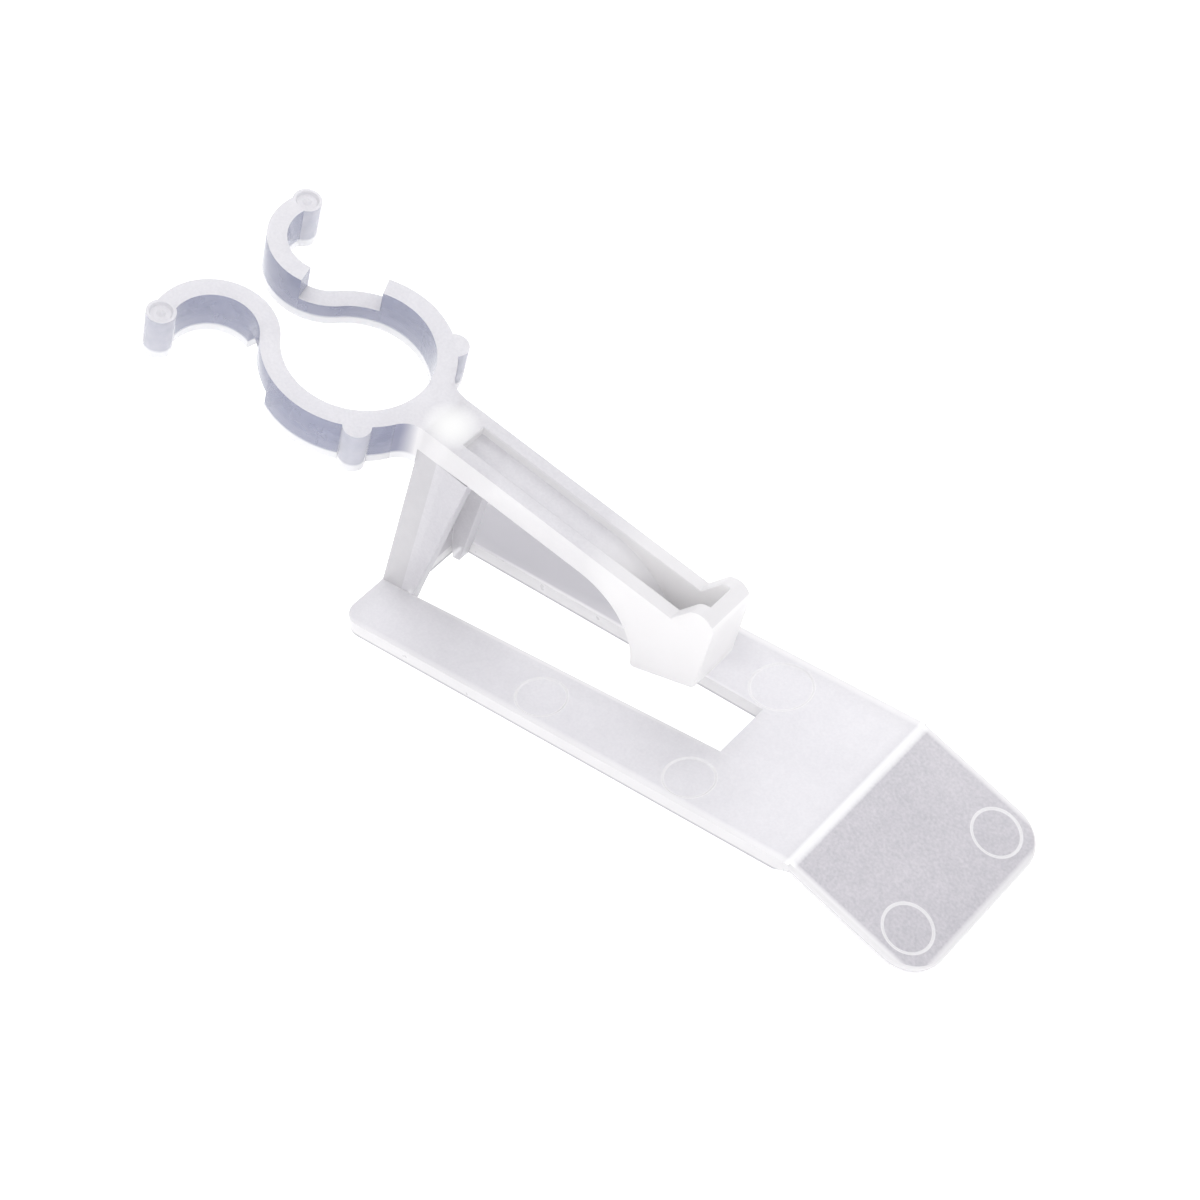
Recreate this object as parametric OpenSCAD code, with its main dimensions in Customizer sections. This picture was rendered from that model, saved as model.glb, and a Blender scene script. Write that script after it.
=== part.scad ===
// Spring clip holder: a slotted clip plate with a bent lead-in tab, a leg,
// a sprung hook tongue and an open ring with two outward-curling jaws.
// One moulding in the real thing; every module below is one section of it.
// Units are millimetres. +X runs from the leg to the tab, +Z is up,
// the origin is on the plate's underside, on the centre line between the
// window and the fold.

/* [Base plate] */
// Width of the clip plate
plate_width = 21; // [18:0.5:26]
// Thickness of the clip plate
plate_thick = 1.6; // [1.2:0.1:2.2]
// Distance from the back edge to the fold line
plate_length = 51.5; // [48:0.5:58]
// Radius of the two back corners
plate_corner = 2; // [0.5:0.1:3]
// Far end of the window, from the back edge
window_end = 38.7; // [38:0.1:42]
// Window width where the leg stands
window_back = 8.8; // [8.2:0.1:9.4]
// Window width at its far end
window_front = 6.4; // [6.2:0.1:7.2]
// Diameter of the small round pin marks
mark_small = 5.1; // [4:0.1:5.6]
// Diameter of the large round pin mark
mark_large = 6.2; // [5:0.1:6.6]
// Depth of the round pin marks
mark_depth = 0.1; // [0.05:0.01:0.2]

/* [Lead-in tab] */
// Length of the tab from the fold line
tab_length = 15.2; // [12:0.1:20]
// Downward bend of the tab in degrees
tab_angle = 24; // [10:1:40]
// Thickness of the tab blade
tab_thick = 0.8; // [0.6:0.05:1.2]
// Radius of the two free corners of the tab
tab_corner = 3.8; // [1:0.1:5]

/* [Leg] */
// Thickness of the leg's back wall
leg_wall_t = 2.3; // [1.8:0.1:2.5]
// Thickness of the two leg ribs
leg_rib_t = 1.4; // [1:0.1:1.6]
// How far the ribs reach forward at the foot
rib_foot = 3.1; // [3:0.1:3.6]

/* [Ring] */
// Inner diameter of the open ring
ring_bore = 14.3; // [13.8:0.1:14.6]
// Wall thickness of ring, jaws and horns
ring_wall = 1.9; // [1.6:0.05:2]
// Height of ring, jaws and horns
ring_height = 5; // [4.6:0.1:5.4]
// Radius of the half-round bosses outside the ring
boss_radius = 1.34; // [1.1:0.01:1.5]
// Height of the half-lap notch in each jaw
lap_depth = 2.5; // [2:0.1:3]

/* [Horns] */
// Mid-line radius of each horn
horn_radius = 5.05; // [4.8:0.05:5.3]
// Direction from the ring centre to each horn centre
horn_dir = 142.5; // [141:0.5:144]
// Radius of the cylindrical pegs
peg_radius = 1.42; // [1.2:0.02:1.6]

/* [Tongue] */
// Radius of the fillets between ring and neck
neck_fillet = 2.5; // [1.5:0.1:3]
// Width of neck and tongue
tongue_width = 5.6; // [5:0.1:5.8]
// Height of the tongue's straight bar
tongue_height = 3; // [2.6:0.1:3.2]
// Width of the trough along the tongue
trough_width = 2.9; // [2:0.1:3.4]
// Depth of the trough along the tongue
trough_depth = 1; // [0.6:0.1:1.4]
// Radius of the hollow under the tongue's nose
hook_radius = 7.38; // [7:0.02:7.6]

/* [Hidden] */
$fn = 128;
back_x = -44;
tilt = 15;
ring_x = -4.42;
ring_z = 24.7;
ri = ring_bore / 2;
ro = ri + ring_wall;
rm = ri + ring_wall / 2;
hd = rm + horn_radius;
hx = hd * cos(horn_dir);
hy = hd * sin(horn_dir);
hi = horn_radius - ring_wall / 2;
ho = horn_radius + ring_wall / 2;
back_end = 58.5;
flex_end = 72;
run_out = 1.7;
lap_start = 113.2;
horn_start = -76;
peg_dir = 157.3;
px = hx + (horn_radius + 0.05) * cos(peg_dir);
py = hy + (horn_radius + 0.05) * sin(peg_dir);
neck_end = 15.9;
spring_end = 19.5;
hook_x = 29;
tip_x = 43.05;
pocket_x = 41.45;
trough_x = 13.7;
hook_z = -tongue_height - hook_radius;
toe_x = 36.9;
toe_z = -9.66;
sole = 26.8;
proud = 0.01;
end_x = tip_x - proud;
heel_r = 1.05;
heel_q = heel_r - proud;
heel_x = tip_x - heel_r;
heel_z = toe_z + (heel_x - toe_x) * tan(sole) + heel_q / cos(sole);
lip_start = 38.8;
lip_r = 1.5;
lip_q = lip_r - proud;
lip_x = tip_x - lip_r;
lip_z = 1.6;
lip_d = sqrt((lip_x - lip_start) * (lip_x - lip_start) + lip_z * lip_z);
lip_t = sqrt(lip_d * lip_d - lip_q * lip_q);
lip_a = atan2(lip_z, lip_x - lip_start) + asin(lip_q / lip_d);
tc = cos(tilt);
ts = sin(tilt);
under_z = ring_z - neck_end * ts - tongue_height * tc;
under_x = ring_x + neck_end * tc - tongue_height * ts;
seat = 9.95;
seat_x = ring_x + seat * tc - tongue_height * ts;
seat_z = ring_z - seat * ts - tongue_height * tc;
leg_top_x = ring_x + seat * tc - ring_height * ts;
leg_top_z = ring_z - seat * ts - ring_height * tc;
rib_slope = (under_x - rib_foot) / under_z;
tw = tongue_width / 2;
wb = window_back / 2;
wf = window_front / 2;
milky = [0.9, 0.9, 0.92];
clear = [0.8, 0.83, 0.9];
frost = [0.86, 0.86, 0.89];

// ---- frames and plan shapes -------------------------------------------

// measured from the middle of the plate's back edge, underside
module base_frame() {
  translate([back_x, 0, 0])
    children();
}

// the tilted plane that ring, neck and tongue share
module ring_frame() {
  base_frame()
    translate([ring_x, 0, ring_z])
      rotate([0, tilt, 0])
        children();
}

// side profile drawn in (along the tongue, height), made across the width
module across(half) {
  rotate([90, 0, 0])
    translate([0, 0, -half])
      linear_extrude(height = 2 * half)
        children();
}

// round bar across the width, its centre at (along the tongue, height)
module bar_across(x, z, r, half) {
  translate([x, half, z])
    rotate([90, 0, 0])
      cylinder(r = r, h = 2 * half);
}

// pie slice from angle a0 to a1, at most 170 degrees
module slice(a0, a1, r) {
  am = (a0 + a1) / 2;
  polygon([[0, 0], [r * cos(a0), r * sin(a0)],
    [1.6 * r * cos((a0 + am) / 2), 1.6 * r * sin((a0 + am) / 2)],
    [1.6 * r * cos((a1 + am) / 2), 1.6 * r * sin((a1 + am) / 2)],
    [r * cos(a1), r * sin(a1)]]);
}

// plan of a piece of the ring wall
module ring_arc(a0, a1) {
  intersection() {
    difference() {
      circle(r = ro);
      circle(r = ri);
    }
    slice(a0, a1, 3 * ro);
  }
}

// plan of a piece of a horn wall, for the jaw on the +Y side
module horn_arc(a0, a1) {
  translate([hx, hy])
    intersection() {
      difference() {
        circle(r = ho);
        circle(r = hi);
      }
      slice(a0, a1, 3 * ho);
    }
}

// full-height slab of a plan shape below the ring plane
module slab(low, high) {
  translate([0, 0, low])
    linear_extrude(height = high - low)
      children();
}

// plan of the window, full size
module window_plan() {
  polygon([[leg_wall_t - 0.4, -wb], [leg_wall_t - 0.4, wb],
    [window_end, wf], [window_end, -wf]]);
}

// ---- clip plate and tab -----------------------------------------------

module plate_plan() {
  w = plate_width / 2;
  c = plate_corner;
  union() {
    translate([c, -w])
      square([plate_length - c, 2 * w]);
    translate([0, -w + c])
      square([2 * c, 2 * w - 2 * c]);
    translate([c, -w + c])
      circle(r = c);
    translate([c, w - c])
      circle(r = c);
  }
}

module pin_mark(x, y, d) {
  translate([x, y, plate_thick - mark_depth])
    cylinder(r = d / 2, h = 1);
}

module base_plate() {
  color(milky)
    base_frame()
      difference() {
        linear_extrude(height = plate_thick)
          plate_plan();
        translate([0, 0, -1])
          linear_extrude(height = plate_thick + 2)
            window_plan();
        pin_mark(21.65, -7.5, mark_small);
        pin_mark(38.4, -7.4, mark_small);
        pin_mark(38.4, 6.5, mark_large);
        // the underside runs out to the thinner blade at the fold
        translate([plate_length, 0, 0])
          across(plate_width)
            polygon([[-run_out, -1], [-run_out, 0],
              [0, plate_thick - tab_thick], [1, plate_thick - tab_thick],
              [1, -1]]);
      }
}

module tab_plan() {
  w = plate_width / 2;
  c = tab_corner;
  union() {
    translate([-2, -w])
      square([tab_length - c + 2, 2 * w]);
    translate([0, -w + c])
      square([tab_length, 2 * w - 2 * c]);
    translate([tab_length - c, -w + c])
      circle(r = c);
    translate([tab_length - c, w - c])
      circle(r = c);
  }
}

module lead_in_tab() {
  color(frost)
    base_frame()
      difference() {
        translate([plate_length, 0, plate_thick])
          rotate([0, tab_angle, 0])
            difference() {
              translate([0, 0, -tab_thick])
                linear_extrude(height = tab_thick)
                  tab_plan();
              for (y = [-6.9, 6.9])
                translate([11.2, y, -mark_depth])
                  cylinder(r = mark_small / 2, h = 1);
            }
        translate([plate_length - 10, -plate_width, -10])
          cube([10, 2 * plate_width, 20]);
      }
}

// ---- leg ----------------------------------------------------------------

// back-to-front outline of the leg seen from the side
module leg_wall_side() {
  polygon([[0, plate_thick], [leg_top_x, leg_top_z], [seat_x, seat_z],
    [seat_x + leg_wall_t * tc, seat_z - leg_wall_t * ts],
    [leg_wall_t, plate_thick]]);
}

module rib_side() {
  polygon([[leg_wall_t, plate_thick],
    [seat_x + leg_wall_t * tc, seat_z - leg_wall_t * ts],
    [under_x, under_z],
    [rib_foot + rib_slope * plate_thick, plate_thick]]);
}

// width of the leg seen from the front, narrowing to the neck
module leg_front() {
  polygon([[-wb, plate_thick], [wb, plate_thick], [tw, seat_z - 1],
    [tw, seat_z + 2], [-tw, seat_z + 2], [-tw, seat_z - 1]]);
}

// the same outline with the channel between the ribs taken out
module leg_front_ribs() {
  t = leg_rib_t;
  difference() {
    leg_front();
    polygon([[-wb + t, plate_thick - 1], [wb - t, plate_thick - 1],
      [wb - t, plate_thick], [tw - t, seat_z - 1], [tw - t, seat_z + 3],
      [-tw + t, seat_z + 3], [-tw + t, seat_z - 1],
      [-wb + t, plate_thick]]);
  }
}

module front_slab() {
  rotate([90, 0, 90])
    translate([0, 0, -1])
      linear_extrude(height = 14)
        children();
}

module leg_wall() {
  color(frost)
    base_frame()
      intersection() {
        across(plate_width / 2)
          leg_wall_side();
        front_slab()
          leg_front();
      }
}

module leg_rib(side) {
  color(clear)
    base_frame()
      union() {
        intersection() {
          across(plate_width / 2)
            rib_side();
          front_slab()
            leg_front_ribs();
          translate([-5, side > 0 ? 0 : -20, 0])
            cube([30, 20, 30]);
        }
        // foot that fills the window's back corner
        intersection() {
          linear_extrude(height = plate_thick)
            window_plan();
          translate([0, side > 0 ? wb - leg_rib_t : -wb - 5, -1])
            cube([20, leg_rib_t + 5, 5]);
          across(plate_width / 2)
            polygon([[0, 0], [rib_foot, 0],
              [rib_foot + rib_slope * plate_thick, plate_thick],
              [0, plate_thick]]);
        }
      }
}

module leg_rib_left() {
  leg_rib(-1);
}

module leg_rib_right() {
  leg_rib(1);
}

// ---- neck and ring ------------------------------------------------------

module neck_plan() {
  f = neck_fillet;
  fy = tw + f;
  fx = sqrt((ro + f) * (ro + f) - fy * fy);
  // where the fillet runs out on the ring, less a hair's width
  ty = fy * ro / (ro + f) - 0.15;
  difference() {
    union() {
      translate([ri, -tw])
        square([neck_end - ri, 2 * tw]);
      translate([ri, -ty])
        square([fx - ri, 2 * ty]);
    }
    circle(r = ro);
    translate([fx, -fy])
      circle(r = f);
    translate([fx, fy])
      circle(r = f);
  }
}

module neck() {
  color(milky)
    ring_frame()
      difference() {
        intersection() {
          slab(-ring_height, 0)
            neck_plan();
          across(10)
            polygon([[0, 0], [neck_end, 0], [neck_end, -tongue_height],
              [seat, -tongue_height], [seat, -ring_height],
              [0, -ring_height]]);
        }
        translate([trough_x, -trough_width / 2, -trough_depth])
          cube([20, trough_width, 10]);
      }
}

module ring_back() {
  color(clear)
    ring_frame()
      slab(-ring_height, 0)
        ring_arc(-back_end, back_end);
}

module ring_boss(side) {
  color(frost)
    ring_frame()
      slab(-ring_height, 0)
        difference() {
          translate([(ro - 0.1) * cos(50), side * (ro - 0.1) * sin(50)])
            circle(r = boss_radius);
          circle(r = ro);
        }
}

module ring_boss_left() {
  ring_boss(-1);
}

module ring_boss_right() {
  ring_boss(1);
}

// ---- jaws -----------------------------------------------------------------

// a jaw section on the +Y side, or its mirror on the -Y side
module jaw(side, low, high) {
  ring_frame()
    slab(low, high)
      mirror([0, side > 0 ? 0 : 1])
        children();
}

module jaw_spring(side) {
  color(frost)
    jaw(side, -ring_height, 0)
      ring_arc(back_end, flex_end);
}

module jaw_arc(side) {
  color(clear)
    jaw(side, -ring_height, 0)
      ring_arc(flex_end, lap_start);
}

module jaw_waist(side, low, high) {
  color(clear)
    jaw(side, low, high)
      union() {
        ring_arc(lap_start, horn_dir + 0.2);
        horn_arc(horn_start, horn_dir - 180 + 0.2);
      }
}

module horn(side) {
  color(clear)
    jaw(side, -ring_height, 0)
      difference() {
        horn_arc(peg_dir - 360 + 6, horn_start);
        translate([px, py])
          circle(r = peg_radius);
      }
}

module peg(side) {
  color(frost)
    ring_frame()
      translate([px, side * py, 0])
        difference() {
          translate([0, 0, -ring_height])
            cylinder(r = peg_radius, h = ring_height);
          difference() {
            translate([0, 0, -0.3])
              cylinder(r = peg_radius - 0.35, h = 1);
            translate([0, 0, -0.4])
              cylinder(r1 = 0.5, r2 = 0.1, h = 0.38);
          }
        }
}

module left_jaw_spring() {
  jaw_spring(-1);
}

module left_jaw_arc() {
  jaw_arc(-1);
}

module left_jaw_waist() {
  jaw_waist(-1, -lap_depth, 0);
}

module left_horn() {
  horn(-1);
}

module left_peg() {
  peg(-1);
}

module right_jaw_spring() {
  jaw_spring(1);
}

module right_jaw_arc() {
  jaw_arc(1);
}

module right_jaw_waist() {
  jaw_waist(1, -ring_height, -lap_depth);
}

module right_horn() {
  horn(1);
}

module right_peg() {
  peg(1);
}

// ---- tongue -----------------------------------------------------------------

module tongue_bar(x0, x1) {
  difference() {
    translate([x0, -tw, -tongue_height])
      cube([x1 - x0, tongue_width, tongue_height]);
    translate([x0 - 1, -trough_width / 2, -trough_depth])
      cube([x1 - x0 + 2, trough_width, 10]);
  }
}

module tongue_spring() {
  color(frost)
    ring_frame()
      tongue_bar(neck_end, spring_end);
}

module tongue_channel() {
  color(milky)
    ring_frame()
      tongue_bar(spring_end, hook_x);
}

// straight outline of the hook below the ring plane
module nose_side() {
  polygon([[hook_x, 0], [end_x, 0], [end_x, heel_z],
    [heel_x + heel_q * sin(sole), heel_z - heel_q * cos(sole)],
    [toe_x, toe_z], [toe_x - 0.4, toe_z - 0.06],
    [toe_x - 0.6, toe_z + 0.16], [hook_x, toe_z + 0.16]]);
}

// the pocket inside the hook, its floor following the hook's outside
module pocket_side() {
  difference() {
    polygon([[hook_x - 0.1, 1], [pocket_x, 1], [pocket_x, -5.6],
      [40.5, -6.2], [37.6, -6.4], [hook_x - 0.1, -7]]);
    translate([hook_x, hook_z])
      circle(r = hook_radius + tongue_height - trough_depth);
  }
}

module tongue_nose() {
  color(milky)
    ring_frame()
      difference() {
        union() {
          across(tw)
            nose_side();
          bar_across(heel_x, heel_z, heel_r, tw);
        }
        bar_across(hook_x, hook_z, hook_radius, tw + 1);
        across(trough_width / 2)
          pocket_side();
      }
}

// flank of the raised lip at the tongue's free end
module lip_side() {
  polygon([[lip_start, 0], [lip_start + lip_t * cos(lip_a),
    lip_t * sin(lip_a)], [lip_x, lip_z], [end_x, lip_z], [end_x, 0]]);
}

module finger_lip() {
  color(frost)
    ring_frame()
      difference() {
        union() {
          across(tw)
            lip_side();
          bar_across(lip_x, lip_z, lip_r, tw);
        }
        translate([30, -trough_width / 2, -1])
          cube([pocket_x - 30, trough_width, 10]);
      }
}

base_plate();
lead_in_tab();
leg_wall();
leg_rib_left();
leg_rib_right();
neck();
ring_back();
ring_boss_left();
ring_boss_right();
tongue_spring();
tongue_channel();
tongue_nose();
finger_lip();
left_jaw_spring();
left_jaw_arc();
left_jaw_waist();
left_horn();
left_peg();
right_jaw_spring();
right_jaw_arc();
right_jaw_waist();
right_horn();
right_peg();
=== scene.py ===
"""Visual model of a moulded spring clip holder, built round its CAD frame.

The holder is one translucent moulding. Each section is modelled from a flat
sketch, in millimetres, then cut at its seams into the pieces of the frame.
"""

from __future__ import annotations

import logging
import math
from collections.abc import Callable, Sequence
from dataclasses import dataclass, field
from enum import Enum

import bmesh
import bpy
from mathutils import Matrix, Vector

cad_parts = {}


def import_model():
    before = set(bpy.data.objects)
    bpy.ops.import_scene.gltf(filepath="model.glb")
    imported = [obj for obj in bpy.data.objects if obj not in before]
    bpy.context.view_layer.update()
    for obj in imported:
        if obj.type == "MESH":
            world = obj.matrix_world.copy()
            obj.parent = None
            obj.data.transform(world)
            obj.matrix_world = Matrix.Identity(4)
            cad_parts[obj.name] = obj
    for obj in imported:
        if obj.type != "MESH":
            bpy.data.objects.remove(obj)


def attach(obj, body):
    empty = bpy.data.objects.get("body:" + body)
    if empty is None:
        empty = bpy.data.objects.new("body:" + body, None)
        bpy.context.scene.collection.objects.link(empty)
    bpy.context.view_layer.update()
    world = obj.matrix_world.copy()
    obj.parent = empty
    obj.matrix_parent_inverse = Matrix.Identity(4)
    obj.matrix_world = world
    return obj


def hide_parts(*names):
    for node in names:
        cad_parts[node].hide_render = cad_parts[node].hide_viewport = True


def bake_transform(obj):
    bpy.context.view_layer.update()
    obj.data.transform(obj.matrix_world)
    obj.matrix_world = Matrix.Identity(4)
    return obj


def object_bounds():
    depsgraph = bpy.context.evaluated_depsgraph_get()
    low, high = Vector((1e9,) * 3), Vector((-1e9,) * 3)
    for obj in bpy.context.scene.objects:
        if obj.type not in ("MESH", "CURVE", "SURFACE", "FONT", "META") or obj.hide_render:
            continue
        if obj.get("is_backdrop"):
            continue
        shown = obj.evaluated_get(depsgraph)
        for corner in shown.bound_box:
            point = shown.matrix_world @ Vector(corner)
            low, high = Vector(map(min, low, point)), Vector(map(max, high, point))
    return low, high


LOG = logging.getLogger("holder")
MM = 0.001  # metres in a millimetre
TINY = 1e-3  # millimetres that count as nothing
PLANE_SLACK = 1e-5  # how near a cutting plane a vertex counts as on it
SHARP = math.radians(28)  # edges bent more than this are rounded
SMOOTH_LIMIT = math.radians(35)  # edges bent more than this are shaded sharp
DISC_CORNERS = 24  # a face with more corners than this is a disc
RING_STEP, HORN_STEP, TAB_STEP = 1.5, 2.5, 5.0  # degrees of arc to a facet
LIP_STEP, BOSS_STEP, CORNER_STEP = 6.0, 8.0, 9.0  # the same, on smaller arcs

Point = tuple[float, float]
Spot = tuple[float, float, float]
Colour = tuple[float, float, float]
Mesh = bmesh.types.BMesh
Edge = bmesh.types.BMEdge
Face = bmesh.types.BMFace
Test = Callable[[Vector], bool]

AHEAD, ASIDE, LEVEL = Vector((1, 0, 0)), Vector((0, 1, 0)), Vector((0, 0, 1))


class Zone(Enum):
    """The finish zones of a piece, which are its material slots in order."""

    SATIN = 0
    POLISHED = 1
    SEAM = 2
    MARK = 3


# ---------------------------------------------------------------- materials


class Socket:
    """A shader socket that builds Math nodes from Python operators."""

    def __init__(self, tree: bpy.types.NodeTree, source: object) -> None:
        """Wrap a node output or a plain number."""
        self.tree = tree
        self.source = source

    def _math(self, operation: str, *values: object) -> Socket:
        """Add one Math node.

        Args:
            operation: The Math node's operation.
            values: The inputs in order, as numbers or sockets.

        Returns:
            The node's output.
        """
        node = self.tree.nodes.new("ShaderNodeMath")
        node.operation = operation
        for plug, value in zip(node.inputs, values):
            raw = value.source if isinstance(value, Socket) else value
            if isinstance(raw, (int, float)):
                plug.default_value = raw
            else:
                self.tree.links.new(raw, plug)
        return Socket(self.tree, node.outputs[0])

    def __add__(self, other: object) -> Socket:
        """Return self + other."""
        return self._math("ADD", self, other)

    __radd__ = __add__

    def __sub__(self, other: object) -> Socket:
        """Return self - other."""
        return self._math("SUBTRACT", self, other)

    def __rsub__(self, other: object) -> Socket:
        """Return other - self."""
        return self._math("SUBTRACT", other, self)

    def __mul__(self, other: object) -> Socket:
        """Return self * other."""
        return self._math("MULTIPLY", self, other)

    __rmul__ = __mul__

    def __truediv__(self, other: object) -> Socket:
        """Return self / other."""
        return self._math("DIVIDE", self, other)

    def absolute(self) -> Socket:
        """Return the size of self without its sign."""
        return self._math("ABSOLUTE", self)

    def power(self, exponent: float) -> Socket:
        """Return self to a power."""
        return self._math("POWER", self, exponent)

    def clamped(self) -> Socket:
        """Return self held between 0 and 1."""
        return self._math("MINIMUM", self._math("MAXIMUM", self, 0.0), 1.0)


class Graph:
    """The node tree of one material."""

    def __init__(self, name: str) -> None:
        """Make an empty material called name.

        Args:
            name: The material's name.
        """
        self.material = bpy.data.materials.new(name)
        self.material.use_nodes = True
        self.tree = self.material.node_tree
        self.tree.nodes.clear()

    def node(self, kind: str, settings: dict[str, object], **inputs: object) -> bpy.types.Node:
        """Add a node.

        Args:
            kind: The node's type, without its ShaderNode prefix.
            settings: Properties of the node, set before its sockets.
            inputs: Values or links by socket name, with _ for a space.

        Returns:
            The new node.
        """
        made = self.tree.nodes.new("ShaderNode" + kind)
        for key, value in settings.items():
            setattr(made, key, value)
        for key, value in inputs.items():
            plug = made.inputs[key.replace("_", " ")]
            raw = value.source if isinstance(value, Socket) else value
            if isinstance(raw, bpy.types.NodeSocket):
                self.tree.links.new(raw, plug)
            else:
                plug.default_value = raw
        return made

    def out(self, node: bpy.types.Node, name: str | int = 0) -> Socket:
        """Return an output of a node as a Socket."""
        return Socket(self.tree, node.outputs[name])

    def place(self) -> Socket:
        """Return the object coordinates, in metres."""
        return self.out(self.node("TexCoord", {}), "Object")

    def vector(self, operation: str, first: Socket, second: Vector) -> bpy.types.Node:
        """Add a Vector Math node on a link and a fixed vector.

        Args:
            operation: The node's operation.
            first: The link.
            second: The fixed vector.

        Returns:
            The new node.
        """
        made = self.node("VectorMath", {"operation": operation})
        self.tree.links.new(first.source, made.inputs[0])
        made.inputs[1].default_value = second
        return made

    def noise(self, place: Socket, scale: float, detail: float) -> Socket:
        """Return a noise value round 0.5 with the given scale, per metre."""
        made = self.node("TexNoise", {}, Vector=place, Scale=scale, Detail=detail)
        return self.out(made, "Fac")

    def blend(self, factor: Socket, low: Socket | Colour, high: Socket | Colour) -> Socket:
        """Mix two colours by a factor.

        Args:
            factor: 0 for low, 1 for high.
            low: A colour, or the output that gives it.
            high: A colour, or the output that gives it.

        Returns:
            The mixed colour.
        """
        made = self.node("Mix", {"data_type": "RGBA"})
        self.tree.links.new(factor.source, made.inputs[0])
        for plug, colour in ((made.inputs[6], low), (made.inputs[7], high)):
            if isinstance(colour, Socket):
                self.tree.links.new(colour.source, plug)
            else:
                plug.default_value = (*colour, 1.0)
        return Socket(self.tree, made.outputs[2])


@dataclass(frozen=True)
class Plastic:
    """One finish of the natural, translucent moulding plastic.

    The colour runs from deep to tint with a slow cloud and a fine speck. Scales
    are per metre, and the size and depth of the grain are in millimetres.
    """

    name: str
    tint: Colour
    deep: Colour
    roughness: float = 0.45
    transmission: float = 0.1
    alpha: float = 0.80
    grain: float = 0.35
    grain_size: float = 0.25
    cloud: float = 0.7
    speck: float = 0.9
    haze_scale: float = 90.0
    mottle_scale: float = 900.0
    haze_share: float = 0.8
    mottle_share: float = 0.5
    alpha_share: float = 0.15
    rough_spread: float = 0.12
    grain_depth: float = 0.02

    def build(self, name: str = "", *blooms: Bloom) -> bpy.types.Material:
        """Make the material.

        Args:
            name: A word added to the finish's name, where blooms change it.
            blooms: The parts of the surface that turn another colour, in order.

        Returns:
            The material.
        """
        graph = Graph(self.name + name)
        place = graph.place()
        haze = graph.noise(place, self.haze_scale, 3.0)
        mottle = graph.noise(place, self.mottle_scale, 2.0)
        grain = graph.noise(place, 1.0 / (self.grain_size * MM), 2.0)
        depth = (haze - 0.5) * (self.haze_share * self.cloud)
        depth = depth + (mottle - 0.5) * (self.mottle_share * self.cloud)
        depth = depth + (grain - 0.5) * self.speck
        colour = graph.blend((depth + 0.5).clamped(), self.deep, self.tint)
        alpha = (self.alpha + (haze - 0.5) * (self.alpha_share * self.cloud)).clamped()
        for bloom in blooms:
            mask = bloom.mask(graph, place)
            colour = graph.blend(mask, colour, bloom.colour)
            alpha = (alpha + mask * (bloom.alpha - self.alpha)).clamped()
        rough = (self.roughness + (mottle - 0.5) * self.rough_spread).clamped()
        height = self.grain_depth * MM
        bump = graph.node("Bump", {}, Strength=self.grain, Distance=height, Height=grain)
        shader = graph.node(
            "BsdfPrincipled",
            {},
            Base_Color=colour,
            Roughness=rough,
            Alpha=alpha,
            Normal=graph.out(bump),
            IOR=1.49,
            Transmission_Weight=self.transmission,
        )
        graph.node("OutputMaterial", {}, Surface=graph.out(shader))
        return graph.material


@dataclass(frozen=True)
class Bloom:
    """A region of another colour: an ellipse, drawn right through the piece.

    The centre is in metres and the reaches are in millimetres.
    """

    centre: Vector
    axis_u: Vector
    axis_v: Vector
    colour: Colour
    reach_u: float
    reach_v: float
    sharpness: float
    alpha: float = 1.0

    def mask(self, graph: Graph, place: Socket) -> Socket:
        """Return 1 at the centre, falling to 0 at the reach.

        Args:
            graph: The material's graph.
            place: The object coordinates.

        Returns:
            The mask, to blend with.
        """
        offset = graph.vector("SUBTRACT", place, self.centre)
        total: Socket | None = None
        for axis, reach in ((self.axis_u, self.reach_u), (self.axis_v, self.reach_v)):
            along = graph.vector("DOT_PRODUCT", graph.out(offset), axis)
            part = (graph.out(along, "Value") / (reach * MM)).absolute().power(2.0)
            total = part if total is None else total + part
        return ((1.0 - total) * self.sharpness).clamped()


SATIN = Plastic("plastic_satin", (0.68, 0.67, 0.70), (0.55, 0.54, 0.58))
SHEET = Plastic("plastic_sheet", (0.75, 0.74, 0.77), (0.64, 0.63, 0.67))
# Pin mark rings: lighter than the face round them, a painted highlight on the rims of the marks.
MARK = Plastic("plastic_mark_painted_highlight", (0.79, 0.78, 0.80), (0.70, 0.69, 0.71), alpha=0.82)
RIM = Plastic(
    "plastic_rim", (0.76, 0.75, 0.76), (0.66, 0.65, 0.67),
    roughness=0.30, alpha=0.88, grain=0.20, grain_size=0.20, cloud=0.5, speck=0.2,
)
SKIN = Plastic(
    "plastic_skin", (0.78, 0.77, 0.78), (0.69, 0.68, 0.70),
    roughness=0.40, alpha=0.86, grain=0.25, speck=0.4,
)
STEM = Plastic(
    "plastic_stem", (0.60, 0.59, 0.61), (0.49, 0.48, 0.51),
    roughness=0.35, grain=0.30, cloud=1.0, speck=0.3,
)
# Polished walls: the low roughness is the real finish, but the dark bluish colour is painted shade,
# the dark surroundings seen through the clear walls.
POLISHED = Plastic(
    "plastic_polished_painted_shade", (0.27, 0.28, 0.39), (0.12, 0.14, 0.25),
    roughness=0.14, transmission=0.3, alpha=0.76, grain=0.10, grain_size=0.30, cloud=1.0, speck=0.0,
)
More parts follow.
